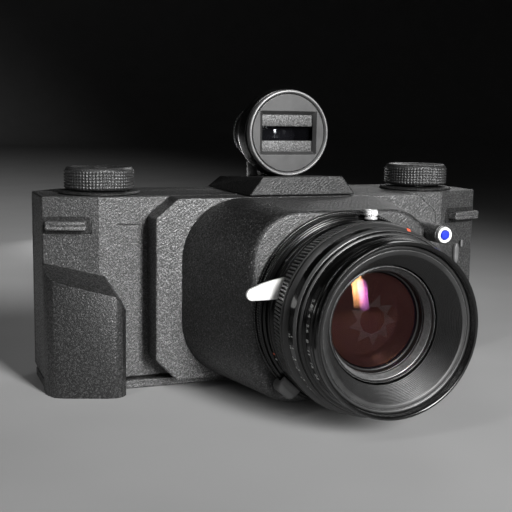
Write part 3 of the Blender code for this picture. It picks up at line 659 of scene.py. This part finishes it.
# A thin lighter rim at the front of the speed ring: painted highlight.
turned("speed_ring_rim", eased([(speed_r - 0.45, speed_front - 0.02), (speed_r + 0.03,
       speed_front + 0.35), (speed_r + 0.03, speed_front + 0.62), (speed_r - 0.5,
       speed_front + 0.62)], 0.08), "black_metal", "speed", look=SATIN_AND_HIGHLIGHT)

stop_r, stop_front, stop_back = ring_of("aperture_ring")
turned("aperture_ring_body", eased([
    (core, stop_front), (27.2, stop_front), (27.9, stop_front + 0.6), (27.9, -63.6),
    (stop_r, -62.1), (stop_r, stop_back), (core, stop_back)], 0.16), "black_metal", "aperture",
    ["aperture_ring"])
# A lighter band on the aperture ring's chamfer: painted highlight.
turned("aperture_band", eased([(27.86, -63.78), (28.99, -62.2), (28.6, -61.95),
                               (27.5, -63.4)], 0.05, 2), "black_metal", "aperture", look=SATIN_AND_HIGHLIGHT)
# A lighter lip at the aperture ring's front: painted highlight.
turned("aperture_lip", eased([(27.2, stop_front - 0.02), (27.94, stop_front + 0.62),
                              (27.94, stop_front + 0.75), (27.1, stop_front + 0.5)], 0.04, 2),
       "black_metal", "aperture", look=SATIN_AND_HIGHLIGHT)

barrel_front, barrel_back = ring_of("front_barrel")[1:]
turned("front_barrel_skin", eased([
    (22.7, barrel_front), (25.2, barrel_front), (25.6, barrel_front + 0.4), (25.6, -73.9),
    (25.48, -73.75), (25.48, -73.6), (25.6, -73.45), (25.6, -70.7), (25.95, -70.1),
    (26.05, -69.7), (25.9, -69.5), (26.1, -69.3), (26.7, -69.0), (26.95, -68.6),
    (26.9, barrel_back), (21.8, barrel_back), (21.8, -73.0), (22.7, -73.0)], 0.1),
    "black_metal", "lens_unit", ["front_barrel"])

# A lighter line on the barrel's step: painted highlight.
turned("barrel_line", eased([(26.15, -69.32), (26.75, -69.02), (26.75, -68.75),
                             (26.1, -69.0)], 0.05, 2), "black_metal", "lens_unit", look=SATIN_AND_HIGHLIGHT)

filter_r, filter_front, filter_back = ring_of("filter_ring")
THREAD_TURNS = 6
thread = [(24.3 + 0.16 * (k % 2), filter_front + 0.45 + 0.19 * k) for k in range(2 * THREAD_TURNS)]
turned("filter_ring_edge", [
    (24.3, filter_back), (filter_r - 0.3, filter_back), (filter_r, filter_back - 0.3),
    (filter_r, filter_front + 0.5), (filter_r - 0.1, filter_front + 0.15),
    (filter_r - 0.3, filter_front), (24.75, filter_front), (24.5, filter_front + 0.15)] + thread,
    "black_metal", "lens_unit", ["filter_ring"], steps=210 * 4,
    ripple=cuts(210, 0.12, filter_front + 0.6, filter_back - 0.3, 0.0, 0.2))

hood_low, hood_high = span("hood_cone")[:2]
HOOD_FACE = hood_low.y
HOOD_TOP, HOOD_LOW = (21.4, HOOD_FACE + 0.1), (17.6, hood_high.y - 2.6)
RIDGES = 15
ridged = []
for k in range(RIDGES):
    for share, lift in ((0.0, 0.0), (0.6, 0.38), (0.85, 0.0)):
        t = (k + share) / RIDGES
        ridged.append((HOOD_TOP[0] + (HOOD_LOW[0] - HOOD_TOP[0]) * t + lift,
                       HOOD_TOP[1] + (HOOD_LOW[1] - HOOD_TOP[1]) * t))
turned("hood_cone_ridges", ridged + [
    HOOD_LOW, (18.3, -66.6), (21.2, -66.6), (21.2, -73.2), (22.2, -73.2), (22.2, -75.5),
    (24.1, -75.6), (24.15, HOOD_FACE - 0.05), (23.95, HOOD_FACE - 0.2), (22.95, HOOD_FACE - 0.08),
    (22.85, HOOD_FACE + 0.12), (22.75, HOOD_FACE - 0.08), (21.7, HOOD_FACE - 0.05)],
    "black_metal", "lens_unit", ["hood_cone"], look=MATTE, angle=60.0)


def notched(angle, radius, along):
    """Two spanner slots across the rim of the retaining ring."""
    near = np.abs(np.cos(angle - math.radians(-31.0))) > 0.9982
    return np.where(near & (along < -67.6) & (radius < 17.0), radius + 0.3, radius)


WALL_LINES = 8
wall = []
for k in range(WALL_LINES):
    t = k / WALL_LINES
    wall += [(15.5 + 0.75 * t, -65.3 - 1.9 * t), (15.62 + 0.75 * t, -65.36 - 1.9 * t)]
turned("retaining_ring_slotted", [
    (16.62, -68.3), (16.75, -68.5), (17.1, -68.5), (17.2, -68.35), (17.2, -64.8),
    (15.4, -64.8)] + wall + [(16.3, -67.3), (16.6, -67.4)], "dark_metal", "lens_unit",
    ["retaining_ring"], steps=240, ripple=notched, look=BAR_LOOK, angle=50.0)
turned("retaining_line", eased([(16.55, -68.42), (16.8, -68.62), (17.0, -68.62), (17.05, -68.3),
                                (16.6, -68.2)], 0.04, 2), "dark_metal", "lens_unit")
turned("front_cell_wall", eased([
    (15.3, -64.4), (17.5, -64.4), (17.5, -58.0), (13.2, -58.0), (13.2, -58.5), (14.5, -58.9),
    (14.5, -62.6), (14.95, -62.8), (15.1, -63.3)], 0.05, 2), "black_metal", "lens_unit",
    ["front_cell"], look=MATTE)

# ---- lens: glass ------------------------------------------------------------


def dome(rim_r, rim_y, apex_y, rows=14):
    """Points of a spherical cap from the rim to the axis."""
    height = rim_y - apex_y
    ball = (rim_r ** 2 + height ** 2) / (2.0 * abs(height))
    reach = math.asin(rim_r / ball)
    side = math.copysign(1.0, height)
    points = []
    for k in range(rows + 1):
        t = reach * (1.0 - k / rows)
        points.append((max(ball * math.sin(t), 0.01), apex_y + side * ball * (1.0 - math.cos(t))))
    return points


VIOLET = glass_look("violet_coating", (0.004, 0.003, 0.006), (0.85, 0.2, 0.85), 0.3, 0.015, 0.25)
# Its amber base colour is painted reflection of warm light in the glass; the amber tint of what it
# reflects comes from the shader.
AMBER_AND_PAINTED_REFLECTION = glass_look("amber_coating_and_painted_reflection", (0.05, 0.014, 0.007), (1.0, 0.42, 0.18), 1.0, 0.03, 0.6, 1.7)
turned("front_element_dome", dome(14.2, -62.6, -65.9) + dome(14.0, -62.35, -65.5)[::-1],
       "glass", "lens_unit", ["front_element"], look=VIOLET, steps=128, angle=60.0)
turned("second_element", dome(14.1, -61.9, -64.4) + [(0.02, -61.6), (14.1, -61.6)], "glass",
       "lens_unit", look=AMBER_AND_PAINTED_REFLECTION, steps=96, angle=60.0)
LEAVES = 9
LEAF_RIM, LEAF_HOLE = 14.0, 4.2     # radii of a leaf's outer arc and of the opening
LEAF_Y, LEAF_TILT = -60.9, 0.8
leaves = []
for k in range(LEAVES):
    start = TURN * k / LEAVES
    arc = [(LEAF_RIM * math.cos(start + t), LEAF_RIM * math.sin(start + t))
           for t in (0.1 * j for j in range(15))]
    hole = [(LEAF_HOLE * math.cos(start + t), LEAF_HOLE * math.sin(start + t))
            for t in (1.9, 1.2, 0.5)]
    lift = [LEAF_Y - LEAF_TILT * j / 17.0 for j in range(18)]
    front = [(LENS[0] + x, y, LENS[1] + z) for (x, z), y in zip(arc + hole, lift)]
    leaves.append(loft([front, [(x, y + 0.08, z) for x, y, z in front]]))
piece("iris_leaves", joined(*leaves), "dark_metal", "lens_unit", look=BLADE_LOOK, angle=20.0)

# ---- cocking lever ----------------------------------------------------------
lever_low, lever_high = span("cocking_lever")[:2]
TIP = (lever_low.x + 1.85, LENS[1] + 8.0)
ARM = [(LENS[0] - 24.0, LENS[1] + 12.3), (LENS[0] - 26.3, LENS[1] + 6.2)]
ARM += [(TIP[0] - 1.85 * math.sin(math.radians(t)), TIP[1] - 1.85 * math.cos(math.radians(t)))
        for t in range(0, 166, 11)]
ARM += [(LENS[0] - 32.1, LENS[1] + 11.0), (LENS[0] - 29.0, LENS[1] + 11.85),
        (LENS[0] - 24.9, LENS[1] + 12.6)]
arm = softened(block_mesh(ARM, lever_low.y, lever_high.y, "Y"), 0.4, 4, 40.0)
piece("cocking_lever_arm", arm, "white_paint", "cocking", ["cocking_lever"])
turned("cocking_ring", eased([(25.8, lever_low.y), (27.9, lever_low.y), (27.9, lever_high.y),
                              (25.8, lever_high.y)], 0.12), "black_metal", "cocking")

# ---- focus tab --------------------------------------------------------------


def lens_spoke(angle, profile, front, back, width=0.5):
    """A bar that points away from the lens axis: profile is (reach, half width) pairs."""
    c, s = math.cos(angle), math.sin(angle)
    side = [(r, -w) for r, w in profile] + [(r, w) for r, w in reversed(profile)]
    outline = [(LENS[0] + r * c - w * s, LENS[1] + r * s + w * c) for r, w in side]
    return softened(block_mesh(outline, front, back, "Y"), width, 4, 40.0)


TAB_TURN = math.radians(227.0)
tab = joined(lens_spoke(TAB_TURN, [(30.5, 3.5), (32.0, 3.4), (33.0, 2.7), (33.4, 1.8)], -49.4,
                        -44.7, 0.7),
             lens_spoke(TAB_TURN, [(28.8, 3.5), (31.3, 3.5)], -49.4, -47.9, 0.4))
piece("focus_tab_lever", tab, "dark_metal", "focus", ["focus_tab"], BAR_LOOK)

# ---- terminal, screws, index marks ------------------------------------------
term_mid = span("sync_terminal")[2]
TERMINAL = (term_mid.x, term_mid.y)
turned("sync_terminal_nut", eased([
    (0.75, 62.4), (0.75, 63.6), (1.75, 63.6), (2.02, 63.3), (2.02, 61.9), (1.7, 61.7),
    (1.7, 61.3), (2.0, 61.1), (2.0, 60.75), (1.4, 60.4), (0.02, 60.4), (0.02, 62.4)], 0.08),
    "bright_metal", "lens_unit", ["sync_terminal"], centre=TERMINAL, axis="Z", steps=144,
    ripple=cuts(24, 0.12, 61.9, 63.4, 0.0, 0.1))

index_mid = span("aperture_index")[2]
INDEX_TURN = math.atan2(index_mid.z - LENS[1], index_mid.x - LENS[0])
c, s = math.cos(INDEX_TURN), math.sin(INDEX_TURN)
mark = []
for r, y in ((28.86, -62.38), (28.05, -63.48)):
    mark.append([(LENS[0] + (r + dr) * c - w * s, y + dy, LENS[1] + (r + dr) * s + w * c)
                 for w, dr, dy in ((-0.65, 0.0, 0.0), (0.65, 0.0, 0.0), (0.65, 0.06, -0.06),
                                   (-0.65, 0.06, -0.06))])
piece("aperture_index_mark", loft(mark), "red_plastic", "aperture", ["aperture_index"])

# ---- scale numbers, ticks and screws ----------------------------------------
def lettering(text, size):
    """Mesh points and faces of a line of text, drawn flat."""
    curve = bpy.data.curves.new("text", "FONT")
    curve.body = text
    curve.size = size
    curve.extrude = 0.02
    curve.resolution_u = 3
    holder = bpy.data.objects.new("text", curve)
    mesh = bpy.data.meshes.new_from_object(holder)
    bm = bmesh.new()
    bm.from_mesh(mesh)
    bpy.data.objects.remove(holder)
    bpy.data.meshes.remove(mesh)
    return bm


def round_lens(angle, radius, along):
    return (LENS[0] + radius * math.cos(angle), along, LENS[1] + radius * math.sin(angle))


def wrapped(text, size, angle, radius, along):
    """Text that runs round a ring from an angle, with its tops toward the front."""
    bm = lettering(text, size)
    for vert in bm.verts:
        x, y, z = vert.co
        vert.co = round_lens(angle + x / radius, radius + z, along - y)
    return bm


def tick(angle, half_width, radius, front, back, proud=0.05):
    """A painted mark on a ring."""
    side = half_width / radius
    loops = [[round_lens(angle + a, radius + r, y) for a, r in
              ((-side, -0.1), (side, -0.1), (side, proud), (-side, proud))]
             for y in (front, back)]
    return loft(loops)


piece("barrel_numbers", wrapped("2.8   4   5.6   8   11   16   22", 2.1, math.radians(158.0),
                                25.62, -71.3), "white_paint", "lens_unit")
ticks = [tick(math.radians(184.0 + 7.0 * k), 0.14, 27.92, -66.9, -65.9) for k in range(6)]
ticks += [wrapped(str(n), 1.3, math.radians(182.6 + 7.0 * k), 27.92, -64.4)
          for k, n in enumerate((22, 16, 11, 8, 5, 4))]
piece("aperture_scale", joined(*ticks), "white_paint", "aperture")
piece("focus_tick", tick(math.radians(207.5), 0.2, 28.3, -49.5, -48.4), "white_paint",
      "lens_unit")
piece("infinity_tick", tick(math.radians(203.5), 0.2, 28.3, -49.5, -48.4), "red_plastic",
      "lens_unit")
SCREW_TURN = math.radians(143.3)
screw = loft([[tuple(Vector(round_lens(SCREW_TURN, 28.1 + lift, -49.3))
                     + Vector((-math.sin(SCREW_TURN) * r * math.cos(t), r * math.sin(t),
                               math.cos(SCREW_TURN) * r * math.cos(t))))
               for t in (TURN * k / 20 for k in range(20))]
              for lift, r in ((-0.3, 0.5), (0.22, 0.5), (0.3, 0.42), (0.3, 0.2), (0.15, 0.18))])
piece("barrel_screw", screw, "grey_metal", "lens_unit", look=SATIN_AND_HIGHLIGHT)

# ---- knobs ------------------------------------------------------------------
KNURL_COUNT, KNURL_ROWS = 63, 6
for node, disc, body, slit in (("advance_knob", "advance_disc", "film_advance", None),
                               ("rewind_knob", "rewind_disc", "film_rewind", math.radians(277))):
    low, high, mid = span(node)
    radius = (high.x - low.x) / 2.0
    band = (low.z + 0.5, high.z - 1.15)
    fine = KNURL_ROWS * 6
    rows = [(radius, band[0] + (band[1] - band[0]) * k / fine) for k in range(fine + 1)]
    foot = [(3.3, low.z), (radius - 0.9, low.z), (radius - 0.6, low.z + 0.2)]
    crown = [(radius - 0.45, high.z - 1.0), (radius - 1.0, high.z - 0.2), (radius - 1.3, high.z),
             (radius - 2.3, high.z), (radius - 3.0, high.z - 0.5), (radius - 3.6, high.z - 0.7),
             (2.6, high.z - 0.75), (2.4, high.z - 0.3), (1.4, high.z - 0.25), (1.2, high.z - 0.9),
             (0.02, high.z - 0.95), (0.02, low.z + 0.6), (3.3, low.z + 0.6)]
    turned(node + "_knurled", foot + rows + crown, "printed", body, [node], (mid.x, mid.y), "Z",
           KNURL_COUNT * 8, pyramids(KNURL_COUNT, KNURL_ROWS, 0.42, *band, slit),
           look=KNOB_LOOK, angle=60.0)
    low, high, mid = span(disc)
    turned(disc + "_soft", eased([(3.6, low.z), (13.6, low.z), (13.6, low.z + 0.25),
                                  (12.9, high.z), (3.6, high.z)], 0.2),
           "printed", "camera_body", [disc], (mid.x, mid.y), "Z", 120, look=DARK_PRINT_AND_SHADOW)

# ---- finder -----------------------------------------------------------------
bezel_r, bezel_front, bezel_back = ring_of("finder_bezel")
turned("finder_bezel_ring", eased([
    (13.75, bezel_front + 0.9), (14.05, bezel_front + 0.25), (14.35, bezel_front),
    (bezel_r - 0.2, bezel_front + 0.1), (bezel_r, bezel_front + 0.5), (bezel_r, bezel_back),
    (13.9, bezel_back)], 0.1), "grey_metal", "finder", ["finder_bezel"], centre=FINDER,
    steps=150 * 4, ripple=cuts(150, 0.14, bezel_front + 0.9, bezel_back, 0.0, 0.2))
low, high, mid = span("finder_body")
BARREL = [(14.0, 6.9), (15.0, 6.9), (15.3, 7.2), (15.3, 14.2), (14.9, 15.4), (11.2, 22.8),
          (10.6, 24.4), (10.6, 30.0), (8.6, 30.0), (8.6, 24.0), (13.4, 14.5), (14.0, 13.5)]
turned("finder_barrel", eased(BARREL, 0.4), "black_metal", "finder", ["finder_body"],
       centre=FINDER, look=BARREL_LOOK)
neck = softened(block_mesh([(17.0, 67.0), (27.4, 67.0), (27.4, 76.0), (24.0, 76.4), (19.0, 73.8),
                            (17.0, 72.6)], FINDER[0] - 7.0, FINDER[0] + 7.0, "X"), 0.4)
foot = softened(block_mesh(rectangle(FINDER[0] - 9.2, FINDER[0] + 9.2, 16.6, 32.0), 66.0, 67.3,
                           "Z"), 0.2)
piece("finder_foot", joined(neck, foot), "black_metal", "finder", look=BARREL_LOOK)

face_r, face_front, face_back = ring_of("finder_faceplate")


def star(half_a, half_b, along, drop=0.0, count=96):
    """A rectangle's outline as rays from its middle, so that it matches a circle's points."""
    points = []
    for t in window_turns(count):
        c, s = math.cos(t), math.sin(t)
        reach = min(half_a / max(abs(c), 1e-9), half_b / max(abs(s), 1e-9))
        points.append((FINDER[0] + reach * c, along, FINDER[1] + drop + reach * s))
    return points


def window_turns(count):
    """Angles round the window, with its outer corners among them."""
    corner = math.atan2(7.5, 10.6)
    stops = [-corner, corner, math.pi - corner, math.pi + corner, TURN - corner]
    turns = []
    for start, end in zip(stops, stops[1:]):
        turns += [start + (end - start) * k / (count // 4) for k in range(count // 4)]
    return turns


def disc_loop(radius, along, count=96):
    return [(FINDER[0] + radius * math.cos(t), along, FINDER[1] + radius * math.sin(t))
            for t in window_turns(count)]


face = loft([disc_loop(face_r, face_back), disc_loop(face_r, face_front + 0.2),
             disc_loop(face_r - 0.2, face_front), star(10.75, 7.65, face_front),
             star(10.6, 7.5, face_front + 0.12), star(9.6, 6.5, face_back - 0.15),
             star(9.6, 6.5, face_back)], closed=True)
piece("finder_face", face, "grey_metal", "finder", ["finder_faceplate"], FACE_LOOK, 25.0)

mask_low, mask_high = span("finder_masks")[:2]
masks = []
for z0, z1 in ((FINDER[1] + 2.3, FINDER[1] + 6.9), (FINDER[1] - 6.9, FINDER[1] - 2.7)):
    masks.append(softened(block_mesh(rectangle(FINDER[0] - 9.9, FINDER[0] + 9.9, z0, z1),
                                     mask_low.y, mask_high.y, "Y"), 0.28, 2))
piece("finder_frame_masks", joined(*masks), "grey_metal", "finder", ["finder_masks"],
      MASK_LOOK)

eye_r, eye_front, eye_back = ring_of("finder_eyepiece")
turned("finder_eyepiece_ring", eased([
    (6.3, eye_front), (eye_r - 0.2, eye_front), (eye_r, eye_front + 0.3), (eye_r, eye_back - 0.7),
    (eye_r - 0.7, eye_back), (7.6, eye_back), (6.3, eye_back - 1.4)], 0.15), "black_metal",
    "finder", ["finder_eyepiece"], centre=FINDER, look=BARREL_LOOK, steps=60 * 6,
    ripple=cuts(60, 0.2, eye_front + 0.3, eye_back - 0.6, 0.0, 0.2))
turned("finder_objective", dome(13.2, 8.1, 7.3) + dome(13.2, 9.4, 8.9)[::-1], "glass", "finder",
       ["finder_front_glass"], centre=FINDER, steps=96, look=WINDOW_LOOK, angle=60.0)

turned("finder_inner_lens", dome(8.2, 14.0, 9.7) + [(0.02, 14.4), (8.2, 14.4)], "glass",
       "finder", centre=(FINDER[0] - 2.0, FINDER[1] - 0.4), steps=64, angle=60.0)

# ---- strap lugs and the slide on the right-hand corner ----------------------
WALL_HALF = 64.5                # half the width of the flat front wall
CORNER_TURN = math.atan2(5.3, 17.6)


def facet(side, x, z, along, proud):
    """A point off the slanted corner: along it from x, and proud of it."""
    c, s = math.cos(CORNER_TURN), math.sin(CORNER_TURN)
    y = (x - WALL_HALF) * math.tan(CORNER_TURN)
    return (side * (x + along * c + proud * s), y + along * s - proud * c, z)


LUG_X, LUG_Z = 74.4, span("strap_lug_left")[2].z
BAR = [(2.3, -1.45), (3.6, -1.5), (4.0, -1.3), (4.15, -0.95), (4.0, -0.6), (3.8, -0.35),
       (3.8, -0.1), (4.0, 0.15), (4.2, 0.55), (4.2, 0.95), (4.0, 1.3), (3.6, 1.5), (2.3, 1.45)]
for side, node in ((-1, "strap_lug_left"), (1, "strap_lug_right")):
    ends = [(-6.5, 0.7), (-6.35, 0.9), (-6.0, 1.0), (6.0, 1.0), (6.35, 0.9), (6.5, 0.7)]
    bar = loft([[facet(side, LUG_X, LUG_Z + z * size, along, 3.2 + (proud - 3.2) * size)
                 for proud, z in BAR] for along, size in ends])
    posts = []
    for middle in (-5.6, 5.6):
        outline = ((-0.9, -1.2), (0.9, -1.2), (0.9, 0.9), (-0.9, 0.9))
        posts.append(softened(loft([[facet(side, LUG_X, LUG_Z + z, middle + a, proud)
                                     for a, z in outline] for proud in (-0.9, 2.9)]), 0.2, 2))
    piece(node + "_bar", joined(bar, *posts), "printed", "camera_body", [node], SLEEVE_LOOK, 50.0)
    # A thin dark sheet laid on the corner round each bar: painted shadow of the hollow behind the
    # bar.
    painted_shadow = [facet(side, LUG_X, LUG_Z + z, along, 0.0) for along, z in
              round_rect(0.0, -0.1, 7.7, 2.9, 0.9, 5)]
    shadow_sheet = loft([[Vector(p) + Vector((side * math.sin(CORNER_TURN), -math.cos(CORNER_TURN), 0.0))
                   * proud for p in painted_shadow] for proud in (-0.3, 0.12)])
    piece(node + "_pocket", shadow_sheet, "printed", "camera_body", look=DARK_PRINT_AND_SHADOW, angle=50.0)

SLIDE_X, SLIDE_Z = 72.5, span("side_slide")[2].z
SLIDE_HALF = 3.7
slide = []
for k in range(17):
    t = k / 16.0
    z = SLIDE_Z - SLIDE_HALF + 2.0 * SLIDE_HALF * t
    taper = min(1.0, 0.45 + 2.6 * min(t, 1.0 - t))
    proud = 1.15 + 0.35 * taper + 0.1 * (k % 2)
    slide.append([facet(1, SLIDE_X, z, a * taper, p) for a, p in
                  ((-1.05, 0.35), (-1.05, proud - 0.35), (-0.7, proud), (0.7, proud),
                   (1.05, proud - 0.35), (1.05, 0.35))])
tongue = loft([[facet(1, SLIDE_X, SLIDE_Z + z, a, proud)
                for a, z in ((-0.4, -2.7), (0.4, -2.7), (0.4, 2.7), (-0.4, 2.7))]
               for proud in (-0.7, 0.9)])
piece("side_slide_thumb", joined(loft(slide), tongue), "grey_metal", "side_control",
      ["side_slide"], angle=25.0)

# ---- floor and light --------------------------------------------------------
stage_mesh = bpy.data.meshes.new("floor")
SWEEP = [(-2.5, 0.0), (2.4, 0.0)]
SWEEP += [(2.4 + 0.6 * math.sin(math.radians(t)), 0.6 - 0.6 * math.cos(math.radians(t)))
          for t in range(10, 91, 10)] + [(3.0, 3.0)]
stage_mesh.from_pydata([(x, y, z) for y, z in SWEEP for x in (-4.0, 4.0)], [],
                       [(2 * i, 2 * i + 1, 2 * i + 3, 2 * i + 2) for i in range(len(SWEEP) - 1)])
stage_mesh.shade_smooth()
floor_graph = Graph("pale_floor")
floor_graph.set(Base_Color=floor_graph.ramp(floor_graph.noise(60.0, 2.0), (0.3, grey(0.43)),
                                            (0.7, grey(0.46))), Roughness=0.9)
stage_mesh.materials.append(floor_graph.material)
floor = bpy.data.objects.new("floor", stage_mesh)
scene.collection.objects.link(floor)

world = bpy.data.worlds.new("studio")
world.use_nodes = True
world.node_tree.nodes["Background"].inputs["Color"].default_value = (1.0, 1.0, 1.0, 1.0)
world.node_tree.nodes["Background"].inputs["Strength"].default_value = 0.006
scene.world = world
scene.view_settings.view_transform = "Standard"

TARGET = Vector((0.0, -30.0, 45.0)) * MM
# Softboxes: azimuth, elevation, distance, width and height, power, spread of the beam.
SOFTBOXES = {
    "key": (11.0, 20.0, 0.95, (0.17, 0.9), 1.85, 40.0),
    "right_panel": (58.0, 14.0, 0.9, (0.4, 0.6), 0.03, 50.0),
    "upper_left_strip": (-58.0, 50.0, 0.9, (0.02, 0.8), 0.12, 50.0),
    "left_low": (-108.0, 10.0, 0.9, (0.3, 0.3), 0.02, 50.0),
    "back_right": (138.0, 30.0, 0.9, (0.4, 0.3), 0.1, 50.0),
    "back_low": (173.0, -1.3, 0.43, (0.16, 0.05), 0.1, 120.0),
}
for name, (azimuth, elevation, distance, size, power, spread) in SOFTBOXES.items():
    a, e = math.radians(azimuth), math.radians(elevation)
    away = Vector((math.sin(a) * math.cos(e), -math.cos(a) * math.cos(e), math.sin(e)))
    lamp = bpy.data.objects.new(name, bpy.data.lights.new(name, "AREA"))
    lamp.data.shape = "RECTANGLE"
    lamp.data.size, lamp.data.size_y = size
    lamp.data.energy = power
    lamp.data.spread = math.radians(spread)
    lamp.visible_camera = False
    lamp.location = TARGET + away * distance
    lamp.rotation_euler = away.to_track_quat("Z", "Y").to_euler()
    scene.collection.objects.link(lamp)
